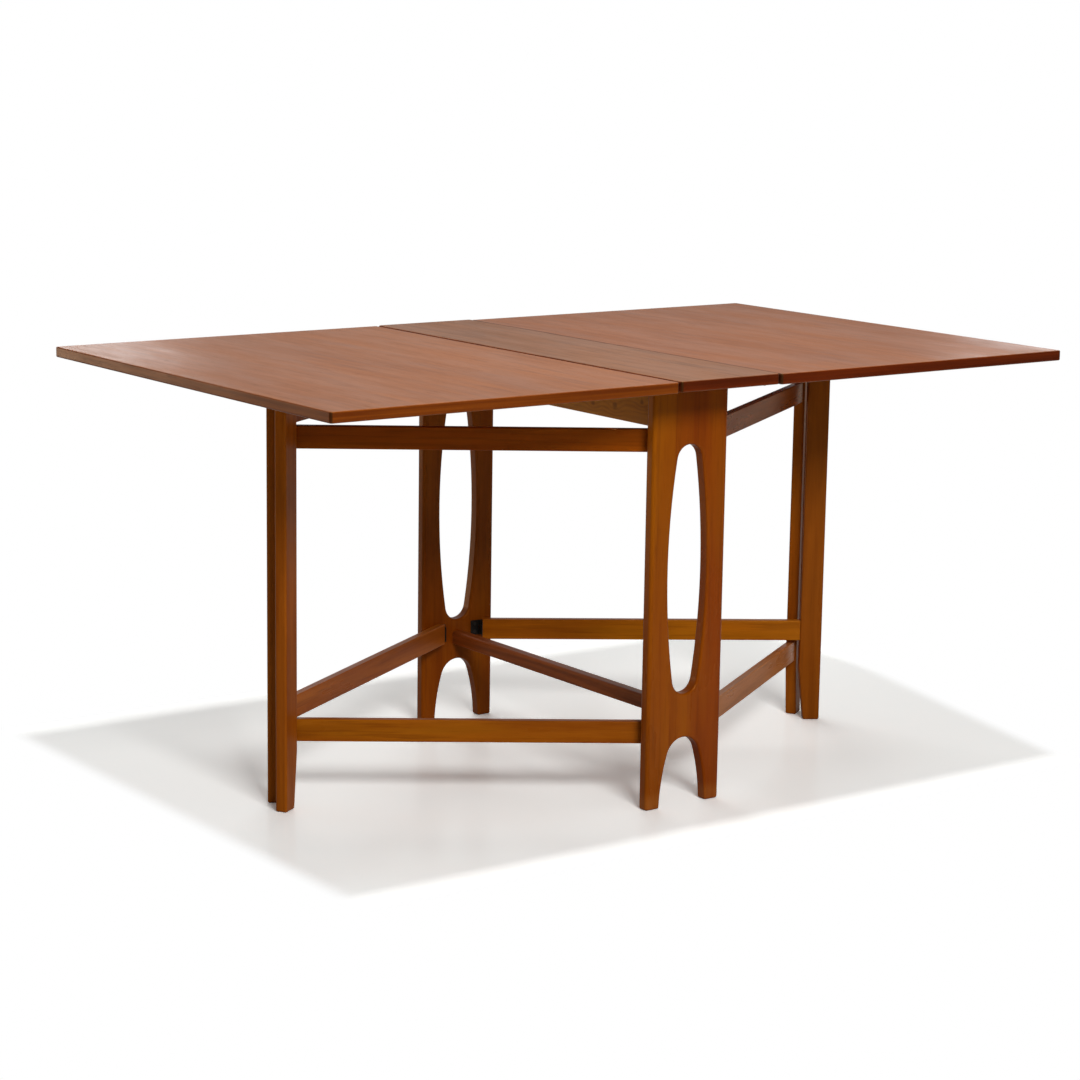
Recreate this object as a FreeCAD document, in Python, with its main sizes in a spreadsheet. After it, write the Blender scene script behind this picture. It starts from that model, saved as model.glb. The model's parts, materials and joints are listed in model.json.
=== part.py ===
import FreeCAD, Part
import math
import os

import Sketcher

# Drop-leaf table with two leaves, each carried by a pair of crossing gates.
# X runs along the opened top, Y across it, Z up. The origin is on the floor
# under the middle of the top. "Near" is the -Y side, "left" is the -X side.

# Driving dimensions, in millimetres.
SIZES = {
    # top
    "table_height": 740,
    "table_width": 900,
    "top_thickness": 18,
    "centre_width": 206,
    "leaf_length": 652,
    "joint_gap": 3.5,
    "leaf_step": 1,
    "top_edge_round": 2.5,
    "top_corner_round": 5,
    # end panels
    "panel_width": 156.5,
    "panel_thickness": 22,
    "panel_overhang": 99,
    "panel_edge_round": 6,
    "panel_foot_round": 4,
    "oval_foot": 193.5,
    "oval_drop": 105,
    "oval_width": 83,
    "oval_end_radius": 26.5,
    "opening_round": 4,
    "arch_height": 117.5,
    "arch_foot_width": 29,
    "arch_crown_radius": 35,
    "arch_side_radius": 330,
    # rails between the end panels
    "top_rail_height": 86.5,
    "top_rail_thickness": 22,
    "stretcher_foot": 147.5,
    "stretcher_height": 24,
    "stretcher_thickness": 24,
    "stretcher_round": 5,
    "bar_edge_round": 1.5,
    "stub_tenon_depth": 12,
    "stub_tenon_shoulder": 4,
    # gates
    "gate_reach": 644.5,
    "leg_width": 41,
    "leg_thickness": 21,
    "leg_edge_round": 3.5,
    "leg_foot_round": 3,
    "leg_taper": 10.5,
    "leg_taper_height": 98,
    "rail_height": 38.5,
    "rail_thickness": 15,
    "rail_edge_round": 2,
    "low_rail_foot": 107,
    "upper_rail_drop": 32,
    "level_step": 46.5,
    "rail_tenon_depth": 24,
    "rail_tenon_thickness": 6,
    "rail_tenon_shoulder": 6,
    "left_meeting_y": 10.5,
    "left_leg_gap": 5.5,
    "right_meeting_y": -2,
    "right_leg_gap": 8,
    # gate hinges
    "pin_inset": 28.25,
    "gate_hinge_height": 28,
    "gate_hinge_width": 21,
    # leaf hinges
    "leaf_hinge_height": 50,
    "leaf_hinge_width": 26,
    "leaf_hinge_inset": 65,
    # all hinges
    "plate_thickness": 1.5,
    "knuckle_radius": 3,
    "knuckle_gap": 0.3,
    "pin_radius": 1.5,
    "pin_clearance": 0.06,
    # fasteners
    "screw_head_radius": 3.1,
    "screw_radius": 1.6,
    "screw_length": 12,
    "screw_edge": 7,
    "dowel_radius": 4,
    "dowel_depth_top": 11,
    "dowel_depth_panel": 20,
    "dowel_spacing": 26,
    "rail_screw_radius": 2.5,
    "rail_screw_head_radius": 4.5,
    "rail_screw_head_height": 3,
    "rail_screw_grip": 26,
    "rail_screw_bite": 12,
    "rail_screw_spacing": 240,
    "counterbore_radius": 6,
}

# Places worked out from the sizes, written as expressions.
UNDERSIDE = "(sizes.table_height - sizes.top_thickness)"
LEAF_UNDERSIDE = f"({UNDERSIDE} - sizes.leaf_step)"
PANEL_INNER = "(sizes.table_width / 2 - sizes.panel_overhang - sizes.panel_thickness)"
AXIS_TO_WOOD = "(sizes.knuckle_radius + sizes.knuckle_gap)"
PIN_X = "(sizes.panel_width / 2 - sizes.pin_inset)"
PIN_Y = f"({PANEL_INNER} - {AXIS_TO_WOOD})"
LEG_INNER = "(sizes.gate_reach - sizes.leg_width)"
GATE_MIDDLE = f"({AXIS_TO_WOOD} + sizes.rail_thickness / 2)"
LEG_OFFSET = f"({GATE_MIDDLE} - sizes.leg_thickness / 2)"
HINGE_X = "(sizes.centre_width / 2 + sizes.joint_gap / 2)"
LEAF_AXIS_Z = f"({LEAF_UNDERSIDE} - {AXIS_TO_WOOD})"
STRETCHER_MIDDLE = "(sizes.stretcher_foot + sizes.stretcher_height / 2)"
TOP_RAIL_MIDDLE = f"({UNDERSIDE} - sizes.top_rail_height / 2)"
OVAL_HEIGHT = f"({UNDERSIDE} - sizes.oval_drop - sizes.oval_foot)"
OVAL_SIDE_RADIUS = (
    f"((({OVAL_HEIGHT} / 2 - sizes.oval_end_radius)^2 + (sizes.oval_width / 2)^2"
    " - sizes.oval_end_radius^2) / (sizes.oval_width - 2 * sizes.oval_end_radius))"
)

os.makedirs("parts", exist_ok=True)
doc = FreeCAD.newDocument("folding_table")
sheet = doc.addObject("Spreadsheet::Sheet", "sizes")
for row, (alias, size) in enumerate(SIZES.items(), start=1):
    sheet.set(f"A{row}", alias)
    sheet.set(f"B{row}", str(size))
    sheet.setAlias(f"B{row}", alias)
doc.recompute()

nodes = []


def value(expression):
    """The number that an expression gives with the sheet's sizes."""
    return float(sheet.evalExpression(expression))


def bind(thing, **properties):
    """Tie properties of an object to expressions. A double underscore stands for a dot."""
    for name, expression in properties.items():
        thing.setExpression(name.replace("__", "."), expression)
    return thing


def turned(thing, axis, degrees):
    thing.Placement = FreeCAD.Placement(FreeCAD.Vector(), FreeCAD.Rotation(axis, degrees))
    return thing


X_AXIS = FreeCAD.Vector(1, 0, 0)
Y_AXIS = FreeCAD.Vector(0, 1, 0)
Z_AXIS = FreeCAD.Vector(0, 0, 1)


# ---------------------------------------------------------------- PartDesign helpers


def new_body(label):
    made = doc.addObject("PartDesign::Body", label)
    nodes.append(made)
    return made


def sketch_on(body, name, role, offset="0"):
    """A sketch on one of the body's origin planes, moved along the plane's normal."""
    sketch = body.newObject("Sketcher::SketchObject", f"{body.Name}_{name}")
    plane = next(f for f in body.Origin.OriginFeatures if f.Role == role)
    sketch.AttachmentSupport = [(plane, "")]
    sketch.MapMode = "FlatFace"
    sketch.setExpression("AttachmentOffset.Base.z", offset)
    return sketch


def hold(sketch, kind, expression, *where):
    """A dimension of the sketch whose value is an expression."""
    number = sketch.addConstraint(Sketcher.Constraint(kind, *where, value(expression)))
    sketch.setExpression(f"Constraints[{number}]", expression)


def hold_point(sketch, edge, end, x, y):
    """Hold a point of a sketch edge at (x, y) from the sketch's origin."""
    hold(sketch, "DistanceX", x, -1, 1, edge, end)
    hold(sketch, "DistanceY", y, -1, 1, edge, end)


def draw_outline(sketch, corners):
    """A closed outline of straight lines through corners, each an (x, y) pair of expressions."""
    points = [FreeCAD.Vector(value(x), value(y), 0) for x, y in corners]
    count = len(points)
    for i in range(count):
        sketch.addGeometry(Part.LineSegment(points[i], points[(i + 1) % count]))
    for i in range(count):
        sketch.addConstraint(Sketcher.Constraint("Coincident", i, 2, (i + 1) % count, 1))
    for i, (x, y) in enumerate(corners):
        hold_point(sketch, i, 1, x, y)


def draw_rectangle(sketch, left, bottom, right, top):
    draw_outline(sketch, [(left, bottom), (right, bottom), (right, top), (left, top)])


def draw_circles(sketch, radius, centres):
    for i, (x, y) in enumerate(centres):
        centre = FreeCAD.Vector(value(x), value(y), 0)
        sketch.addGeometry(Part.Circle(centre, Z_AXIS, value(radius)))
        hold(sketch, "Radius", radius, i)
        hold_point(sketch, i, 3, x, y)


def pad(body, sketch, length, reverse=False, midplane=False):
    made = body.newObject("PartDesign::Pad", f"{sketch.Name}_pad")
    made.Profile = sketch
    made.Reversed = reverse
    made.SideType = "Symmetric" if midplane else "One side"
    made.setExpression("Length", length)
    doc.recompute()
    return made


def pocket(body, sketch, depth, reverse=False):
    """Cut a sketch into the body. A cut that removes nothing is an error."""
    before = body.Shape.Volume
    made = body.newObject("PartDesign::Pocket", f"{sketch.Name}_pocket")
    made.Profile = sketch
    made.Reversed = reverse
    made.setExpression("Length", depth)
    doc.recompute()
    if not made.Shape.Volume < before:
        raise RuntimeError(f"{made.Name} cuts nothing")
    return made


def round_edges(body, name, radius, wanted):
    """Fillet the edges of the body's present shape for which wanted(edge) is true."""
    base = body.Tip
    chosen = [f"Edge{i}" for i, edge in enumerate(base.Shape.Edges, start=1) if wanted(edge)]
    made = body.newObject("PartDesign::Fillet", f"{body.Name}_{name}")
    made.Base = (base, chosen)
    made.setExpression("Radius", radius)
    doc.recompute()
    return made


def direction(edge):
    """The unit vector along a straight edge, or None for a curved one."""
    if edge.Curve.TypeId != "Part::GeomLine":
        return None
    return edge.Curve.Direction


def runs_along(edge, axis):
    way = direction(edge)
    return way is not None and abs(way.dot(axis)) > 0.999


def span(edge):
    return edge.BoundBox


def near(a, b):
    return abs(a - b) < 1e-4


# ---------------------------------------------------------------- Part helpers


def primitive(kind, name, **properties):
    return bind(doc.addObject(f"Part::{kind}", name), **properties)


def joined(name, pieces):
    made = doc.addObject("Part::MultiFuse", name)
    made.Shapes = pieces
    return made


def cut(name, base, tool):
    made = doc.addObject("Part::Cut", name)
    made.Base = base
    made.Tool = tool
    return made


def group(label, pieces):
    """Equal pieces that share one node, each a solid of its own."""
    made = doc.addObject("Part::Compound", label)
    made.Links = pieces
    nodes.append(made)
    return made


# ---------------------------------------------------------------- top


def top_board(label, left, right, thickness, foot):
    """A board of the top between two X positions, in its own frame."""
    body = new_body(label)
    sketch = sketch_on(body, "outline", "XY_Plane")
    half = "sizes.table_width / 2"
    draw_rectangle(sketch, left, f"-{half}", right, half)
    pad(body, sketch, thickness)
    round_edges(body, "corners", "sizes.top_corner_round", lambda e: runs_along(e, Z_AXIS))
    levels = (0, value(thickness))
    round_edges(
        body,
        "arris",
        "sizes.top_edge_round",
        lambda e: near(span(e).ZLength, 0) and any(near(span(e).ZMin, z) for z in levels),
    )
    bind(body, Placement__Base__z=foot)
    return body


def dowel_places():
    """Where the dowels stand between the end panels and the centre board."""
    middle = f"({PANEL_INNER} + sizes.panel_thickness / 2)"
    return [(f"{i} * sizes.dowel_spacing", middle, side) for side in (-1, 1) for i in (-2, -1, 1, 2)]


def rail_screw_places():
    return [("0", f"{i} * sizes.rail_screw_spacing") for i in (-1, 0, 1)]


def centre_board():
    half = "sizes.centre_width / 2"
    body = top_board("centre_board", f"-{half}", half, "sizes.top_thickness", UNDERSIDE)
    holes = sketch_on(body, "dowel_holes", "XY_Plane")
    draw_circles(
        holes, "sizes.dowel_radius", [(x, f"{side} * {y}") for x, y, side in dowel_places()]
    )
    pocket(body, holes, "sizes.dowel_depth_top", reverse=True)
    pilots = sketch_on(body, "screw_holes", "XY_Plane")
    draw_circles(pilots, "sizes.rail_screw_radius", rail_screw_places())
    pocket(body, pilots, "sizes.rail_screw_bite", reverse=True)


def leaf(label, side):
    """A leaf, drawn outward from its hinged edge. The left one is turned half round."""
    body = top_board(label, "0", "sizes.leaf_length", "sizes.top_thickness", LEAF_UNDERSIDE)
    if side < 0:
        turned(body, Z_AXIS, 180)
    edge = "(sizes.centre_width / 2 + sizes.joint_gap)"
    bind(body, Placement__Base__x=f"{side} * {edge}", Placement__Base__z=LEAF_UNDERSIDE)


# ---------------------------------------------------------------- end panels and rails


def arc_between(centre, radius, start, end):
    """The arc that runs anticlockwise about a centre from one point to another."""
    first = math.atan2(start[1] - centre[1], start[0] - centre[0])
    last = math.atan2(end[1] - centre[1], end[0] - centre[0])
    circle = Part.Circle(FreeCAD.Vector(centre[0], centre[1], 0), Z_AXIS, radius)
    return Part.ArcOfCircle(circle, first, last)


def draw_oval(sketch):
    """The long opening: two small end arcs, and two large side arcs tangent to them."""
    end_radius = value("sizes.oval_end_radius")
    side_radius = value(OVAL_SIDE_RADIUS)
    half_width = value("sizes.oval_width / 2")
    half_height = value(f"{OVAL_HEIGHT} / 2")
    middle = value("sizes.oval_foot") + half_height
    rise = half_height - end_radius
    reach = side_radius - half_width
    share = end_radius / (side_radius - end_radius)
    join_x = share * reach
    join_rise = rise * (1 + share)
    right_low = (join_x, middle - join_rise)
    right_high = (join_x, middle + join_rise)
    left_high = (-join_x, middle + join_rise)
    left_low = (-join_x, middle - join_rise)
    sketch.addGeometry(arc_between((-reach, middle), side_radius, right_low, right_high))
    sketch.addGeometry(arc_between((0, middle + rise), end_radius, right_high, left_high))
    sketch.addGeometry(arc_between((reach, middle), side_radius, left_high, left_low))
    sketch.addGeometry(arc_between((0, middle - rise), end_radius, left_low, right_low))
    for i in range(4):
        sketch.addConstraint(Sketcher.Constraint("Tangent", i, 2, (i + 1) % 4, 1))
    low = "sizes.oval_foot + sizes.oval_end_radius"
    high = f"{UNDERSIDE} - sizes.oval_drop - sizes.oval_end_radius"
    hold_point(sketch, 1, 3, "0", high)
    hold_point(sketch, 3, 3, "0", low)
    hold(sketch, "Radius", "sizes.oval_end_radius", 1)
    hold(sketch, "Radius", "sizes.oval_end_radius", 3)
    hold(sketch, "Radius", OVAL_SIDE_RADIUS, 0)
    hold(sketch, "Radius", OVAL_SIDE_RADIUS, 2)


def draw_arch(sketch):
    """The arch between the feet: a crown arc and two long side arcs down to the floor."""
    crown_radius = value("sizes.arch_crown_radius")
    side_radius = value("sizes.arch_side_radius")
    crown_z = value("sizes.arch_height") - crown_radius
    foot_x = value("sizes.panel_width / 2 - sizes.arch_foot_width")
    # The right side arc's centre lies side_radius from the foot's corner, and
    # side_radius - crown_radius from the crown's centre.
    far = side_radius
    close = side_radius - crown_radius
    apart = math.hypot(foot_x, crown_z)
    along = (far**2 - close**2 + apart**2) / (2 * apart)
    off = math.sqrt(far**2 - along**2)
    toward_x = -foot_x / apart
    toward_z = crown_z / apart
    side_x = foot_x + along * toward_x - off * toward_z
    side_z = along * toward_z + off * toward_x
    scale = crown_radius / close
    join_x = -side_x * scale
    join_z = crown_z + (crown_z - side_z) * scale
    sketch.addGeometry(
        arc_between((side_x, side_z), side_radius, (foot_x, 0), (join_x, join_z))
    )
    sketch.addGeometry(
        arc_between((0, crown_z), crown_radius, (join_x, join_z), (-join_x, join_z))
    )
    sketch.addGeometry(
        arc_between((-side_x, side_z), side_radius, (-join_x, join_z), (-foot_x, 0))
    )
    sketch.addGeometry(
        Part.LineSegment(FreeCAD.Vector(-foot_x, 0, 0), FreeCAD.Vector(foot_x, 0, 0))
    )
    sketch.addConstraint(Sketcher.Constraint("Tangent", 0, 2, 1, 1))
    sketch.addConstraint(Sketcher.Constraint("Tangent", 1, 2, 2, 1))
    sketch.addConstraint(Sketcher.Constraint("Coincident", 2, 2, 3, 1))
    sketch.addConstraint(Sketcher.Constraint("Coincident", 3, 2, 0, 1))
    foot = "sizes.panel_width / 2 - sizes.arch_foot_width"
    hold_point(sketch, 0, 1, foot, "0")
    hold_point(sketch, 2, 2, f"-({foot})", "0")
    hold_point(sketch, 1, 3, "0", "sizes.arch_height - sizes.arch_crown_radius")
    hold(sketch, "Radius", "sizes.arch_crown_radius", 1)
    hold(sketch, "Radius", "sizes.arch_side_radius", 0)
    hold(sketch, "Radius", "sizes.arch_side_radius", 2)


def tenon_half(size):
    return f"({size} / 2 - sizes.stub_tenon_shoulder)"


def end_panel(label, side):
    """An end panel, drawn with its inner face on Y = 0. The far one is turned half round."""
    body = new_body(label)
    half = "sizes.panel_width / 2"
    outline = sketch_on(body, "outline", "XZ_Plane")
    draw_rectangle(outline, f"-{half}", "0", half, UNDERSIDE)
    pad(body, outline, "sizes.panel_thickness")
    oval = sketch_on(body, "oval", "XZ_Plane")
    draw_oval(oval)
    pocket(body, oval, "sizes.panel_thickness", reverse=True)
    arch = sketch_on(body, "arch", "XZ_Plane")
    draw_arch(arch)
    pocket(body, arch, "sizes.panel_thickness", reverse=True)
    half_width = value(half)
    top = value(UNDERSIDE)
    round_edges(
        body,
        "sides",
        "sizes.panel_edge_round",
        lambda e: runs_along(e, Z_AXIS) and near(abs(span(e).XMin), half_width),
    )
    faces = (0, -value("sizes.panel_thickness"))
    round_edges(
        body,
        "openings",
        "sizes.opening_round",
        lambda e: (
            near(span(e).YLength, 0)
            and any(near(span(e).YMin, y) for y in faces)
            and span(e).ZLength > 1
            and span(e).ZMax < top - 1
            and abs(span(e).XMin) < half_width - 1
            and abs(span(e).XMax) < half_width - 1
        ),
    )
    for name, middle, height, thickness in (
        ("stretcher_mortise", STRETCHER_MIDDLE, "sizes.stretcher_height", "sizes.stretcher_thickness"),
        ("rail_mortise", TOP_RAIL_MIDDLE, "sizes.top_rail_height", "sizes.top_rail_thickness"),
    ):
        mortise = sketch_on(body, name, "XZ_Plane")
        draw_rectangle(
            mortise,
            f"-{tenon_half(thickness)}",
            f"{middle} - {tenon_half(height)}",
            tenon_half(thickness),
            f"{middle} + {tenon_half(height)}",
        )
        pocket(body, mortise, "sizes.stub_tenon_depth", reverse=True)
    holes = sketch_on(body, "dowel_holes", "XY_Plane", UNDERSIDE)
    places = [(x, "-sizes.panel_thickness / 2") for x, y, which in dowel_places() if which == side]
    draw_circles(holes, "sizes.dowel_radius", places)
    pocket(body, holes, "sizes.dowel_depth_panel")
    round_edges(
        body,
        "feet",
        "sizes.panel_foot_round",
        lambda e: near(span(e).ZMax, 0) and span(e).XLength > 1,
    )
    if side > 0:
        turned(body, Z_AXIS, 180)
    bind(body, Placement__Base__y=f"{side} * {PANEL_INNER}")


def crossbar(label, middle, height, thickness, upper_round):
    """A rail from end panel to end panel, with a stub tenon in each."""
    body = new_body(label)
    bar = sketch_on(body, "section", "XZ_Plane")
    draw_rectangle(
        bar,
        f"-{thickness} / 2",
        f"{middle} - {height} / 2",
        f"{thickness} / 2",
        f"{middle} + {height} / 2",
    )
    pad(body, bar, f"2 * {PANEL_INNER}", midplane=True)
    middle_z = value(middle)
    round_edges(
        body,
        "upper",
        upper_round,
        lambda e: runs_along(e, Y_AXIS) and span(e).ZMin > middle_z,
    )
    round_edges(
        body,
        "lower",
        "sizes.bar_edge_round",
        lambda e: runs_along(e, Y_AXIS)
        and span(e).ZMin < middle_z
        and near(span(e).ZMin, body.Shape.BoundBox.ZMin),
    )
    tenons = sketch_on(body, "tenons", "XZ_Plane")
    draw_rectangle(
        tenons,
        f"-{tenon_half(thickness)}",
        f"{middle} - {tenon_half(height)}",
        tenon_half(thickness),
        f"{middle} + {tenon_half(height)}",
    )
    pad(body, tenons, f"2 * ({PANEL_INNER} + sizes.stub_tenon_depth)", midplane=True)
    return body


def top_rail():
    """The upper rail, screwed up into the centre board through counterbored holes."""
    body = crossbar(
        "top_rail",
        TOP_RAIL_MIDDLE,
        "sizes.top_rail_height",
        "sizes.top_rail_thickness",
        "sizes.bar_edge_round / 3",
    )
    foot = f"({UNDERSIDE} - sizes.top_rail_height)"
    holes = sketch_on(body, "screw_holes", "XY_Plane", foot)
    draw_circles(holes, "sizes.rail_screw_radius", rail_screw_places())
    pocket(body, holes, "sizes.top_rail_height", reverse=True)
    counterbores = sketch_on(body, "counterbores", "XY_Plane", foot)
    draw_circles(counterbores, "sizes.counterbore_radius", rail_screw_places())
    pocket(body, counterbores, "sizes.top_rail_height - sizes.rail_screw_grip", reverse=True)


def panel_dowels():
    dowels = []
    for i, (x, y, side) in enumerate(dowel_places()):
        dowels.append(
            primitive(
                "Cylinder",
                f"dowel_{i}",
                Radius="sizes.dowel_radius",
                Height="sizes.dowel_depth_top + sizes.dowel_depth_panel",
                Placement__Base__x=x,
                Placement__Base__y=f"{side} * {y}",
                Placement__Base__z=f"{UNDERSIDE} - sizes.dowel_depth_panel",
            )
        )
    group("panel_dowels", dowels)


def rail_screws():
    """Screws from the counterbores of the top rail into the centre board."""
    screws = []
    head_z = f"({UNDERSIDE} - sizes.rail_screw_grip)"
    for i, (x, y) in enumerate(rail_screw_places()):
        head = primitive(
            "Cylinder",
            f"rail_screw_head_{i}",
            Radius="sizes.rail_screw_head_radius",
            Height="sizes.rail_screw_head_height",
            Placement__Base__y=y,
            Placement__Base__z=f"{head_z} - sizes.rail_screw_head_height",
        )
        shank = primitive(
            "Cylinder",
            f"rail_screw_shank_{i}",
            Radius="sizes.rail_screw_radius",
            Height="sizes.rail_screw_grip + sizes.rail_screw_bite",
            Placement__Base__y=y,
            Placement__Base__z=head_z,
        )
        screws.append(joined(f"rail_screw_{i}", [head, shank]))
    group("rail_screws", screws)


# ---------------------------------------------------------------- hinges
# A hinge plate is drawn with the pin axis along Z through the origin, the wood
# it is screwed to beyond X = wood, and the plate reaching towards side * Y.


def across(side, start, end):
    """The lower bound of a span from start to end that is measured towards side * Y."""
    return start if side > 0 else f"-({end})"


def knuckle_spans(height, outer):
    """Z spans of the knuckles: the two outer ones, or the middle one, in thirds."""
    third = f"({height} / 3)"
    slit = "(sizes.knuckle_gap / 2)"
    if outer:
        return [(f"-{height} / 2", f"{third} - {slit}"), (f"{third} / 2 + {slit}", f"{third} - {slit}")]
    return [(f"-{third} / 2 + {slit}", f"{third} - 2 * {slit}")]


def screw_places(side, width, height):
    """Where the screws of one plate are, as (y, z)."""
    y = f"{side} * ({width} + {AXIS_TO_WOOD}) / 2"
    z = f"({height} / 2 - sizes.screw_edge)"
    return [(y, f"-{z}"), (y, z)]


def hinge_plate(name, side, wood, width, height, outer, bore):
    """One leaf of a butt hinge, with its knuckles and countersunk holes."""
    pieces = [
        primitive(
            "Box",
            f"{name}_plate",
            Length="sizes.plate_thickness",
            Width=f"{width} - {AXIS_TO_WOOD}",
            Height=height,
            Placement__Base__x=f"{wood} - sizes.plate_thickness",
            Placement__Base__y=across(side, AXIS_TO_WOOD, width),
            Placement__Base__z=f"-{height} / 2",
        )
    ]
    bores = []
    curl = "(sizes.knuckle_radius - sizes.plate_thickness)"
    for i, (foot, length) in enumerate(knuckle_spans(height, outer)):
        pieces.append(
            primitive(
                "Cylinder",
                f"{name}_knuckle_{i}",
                Radius="sizes.knuckle_radius",
                Height=length,
                Placement__Base__z=foot,
            )
        )
        pieces.append(
            primitive(
                "Box",
                f"{name}_curl_{i}",
                Length=wood,
                Width=f"{AXIS_TO_WOOD} - {curl}",
                Height=length,
                Placement__Base__y=across(side, curl, AXIS_TO_WOOD),
                Placement__Base__z=foot,
            )
        )
        bores.append(
            primitive(
                "Cylinder",
                f"{name}_bore_{i}",
                Radius=bore,
                Height=length,
                Placement__Base__z=foot,
            )
        )
    for i, (y, z) in enumerate(screw_places(side, width, height)):
        bores.append(countersink(f"{name}_hole_{i}", wood, y, z))
    return cut(name, joined(f"{name}_metal", pieces), joined(f"{name}_holes", bores))


def countersink(name, wood, y, z):
    """The cone of a screw's head, widest on the plate's free face."""
    cone = primitive(
        "Cone",
        name,
        Radius1="sizes.screw_head_radius",
        Radius2="sizes.screw_radius",
        Height="sizes.plate_thickness",
    )
    turned(cone, Y_AXIS, 90)
    return bind(
        cone,
        Placement__Base__x=f"{wood} - sizes.plate_thickness",
        Placement__Base__y=y,
        Placement__Base__z=z,
    )


def plate_screws(name, side, wood, width, height):
    """The countersunk screws of one plate."""
    screws = []
    for i, (y, z) in enumerate(screw_places(side, width, height)):
        shank = primitive(
            "Cylinder",
            f"{name}_shank_{i}",
            Radius="sizes.screw_radius",
            Height="sizes.screw_length",
        )
        turned(shank, Y_AXIS, 90)
        bind(shank, Placement__Base__x=wood, Placement__Base__y=y, Placement__Base__z=z)
        head = countersink(f"{name}_head_{i}", wood, y, z)
        screws.append(joined(f"{name}_screw_{i}", [head, shank]))
    return screws


def hinge_pin(name, height):
    """A pin as long as all the knuckles. Its origin is at its lower end."""
    return primitive("Cylinder", name, Radius="sizes.pin_radius", Height=height)


# ---------------------------------------------------------------- gates


class Gate:
    """One gate: where its pins stand, which way it points and how high its rails are.

    Its pieces are drawn in the gate's own frame: X along the rails from the
    pin axis, Z up from the floor, the wood on the side_y side of the X axis.
    """

    def __init__(self, across_x, across_y):
        self.x = across_x
        self.y = across_y
        self.name = f"{'far' if across_y > 0 else 'near'}_{'right' if across_x > 0 else 'left'}"
        self.side = -across_x * across_y
        # The far gates' rails pass over the near gates' rails.
        rise, drop = ("sizes.level_step", "0") if across_y > 0 else ("0", "sizes.level_step")
        lower = f"(sizes.low_rail_foot + {rise})"
        upper = f"({LEAF_UNDERSIDE} - sizes.upper_rail_drop - sizes.rail_height - {drop})"
        self.feet = (lower, upper)

    def opening(self):
        """The angle from the X axis at which the two legs of one end meet."""
        side = "right" if self.x > 0 else "left"
        meeting = f"{self.y} * sizes.{side}_meeting_y"
        corner = f"({PIN_Y} - {meeting} + sizes.{side}_leg_gap / 2)"
        # The leg's inner corner lies LEG_OFFSET beside the line from the pin.
        length = f"sqrt({LEG_INNER}^2 + {LEG_OFFSET}^2)"
        return f"(asin({corner} / {length}) - atan({LEG_OFFSET} / {LEG_INNER}))"

    def heading(self):
        if self.x > 0:
            return f"{-self.y} * {self.opening()}"
        return f"180 deg + {self.y} * {self.opening()}"

    def place(self, piece):
        """Stand a piece drawn in the gate's frame at the gate's pins."""
        turned(piece, Z_AXIS, 0)
        bind(
            piece,
            Placement__Base__x=f"{self.x} * {PIN_X}",
            Placement__Base__y=f"{self.y} * {PIN_Y}",
            Placement__Rotation__Angle=self.heading(),
        )

    def wood_offset(self):
        """How far the gate's middle plane is moved along the XZ plane's normal, -Y."""
        return f"{-self.side} * {GATE_MIDDLE}"


def tenon_heights(foot):
    low = f"{foot} + sizes.rail_tenon_shoulder"
    high = f"{foot} + sizes.rail_height - sizes.rail_tenon_shoulder"
    return low, high


def gate_leg(gate):
    """A straight leg, tapered on its rail side below the rails, with two mortises."""
    body = new_body(f"{gate.name}_leg")
    outline = sketch_on(body, "outline", "XZ_Plane", gate.wood_offset())
    draw_outline(
        outline,
        [
            (f"{LEG_INNER} + sizes.leg_taper", "0"),
            ("sizes.gate_reach", "0"),
            ("sizes.gate_reach", LEAF_UNDERSIDE),
            (LEG_INNER, LEAF_UNDERSIDE),
            (LEG_INNER, "sizes.leg_taper_height"),
        ],
    )
    pad(body, outline, "sizes.leg_thickness", midplane=True)
    top = value(LEAF_UNDERSIDE)
    round_edges(
        body,
        "arrises",
        "sizes.leg_edge_round",
        lambda e: near(span(e).YLength, 0) and span(e).ZLength > 1,
    )
    round_edges(
        body,
        "foot",
        "sizes.leg_foot_round",
        lambda e: near(span(e).ZMax, 0),
    )
    half = "sizes.rail_tenon_thickness / 2"
    middle = f"{gate.side} * {GATE_MIDDLE}"
    for i, foot in enumerate(gate.feet):
        low, high = tenon_heights(foot)
        mortise = sketch_on(body, f"mortise_{i}", "YZ_Plane", LEG_INNER)
        draw_rectangle(mortise, f"{middle} - {half}", low, f"{middle} + {half}", high)
        pocket(body, mortise, "sizes.rail_tenon_depth", reverse=True)
    gate.place(body)


def gate_rail(gate, label, foot):
    """A rail from the hinge to the leg, with a tenon into the leg."""
    body = new_body(f"{gate.name}_{label}")
    middle = f"{gate.side} * {GATE_MIDDLE}"
    half = "sizes.rail_thickness / 2"
    section = sketch_on(body, "section", "YZ_Plane", AXIS_TO_WOOD)
    draw_rectangle(
        section, f"{middle} - {half}", foot, f"{middle} + {half}", f"{foot} + sizes.rail_height"
    )
    pad(body, section, f"{LEG_INNER} - {AXIS_TO_WOOD}")
    round_edges(body, "arrises", "sizes.rail_edge_round", lambda e: runs_along(e, X_AXIS))
    low, high = tenon_heights(foot)
    half_tenon = "sizes.rail_tenon_thickness / 2"
    tenon = sketch_on(body, "tenon", "YZ_Plane", f"{LEG_INNER} - sizes.rail_tenon_depth")
    draw_rectangle(tenon, f"{middle} - {half_tenon}", low, f"{middle} + {half_tenon}", high)
    pad(body, tenon, "2 * sizes.rail_tenon_depth")
    gate.place(body)


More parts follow.
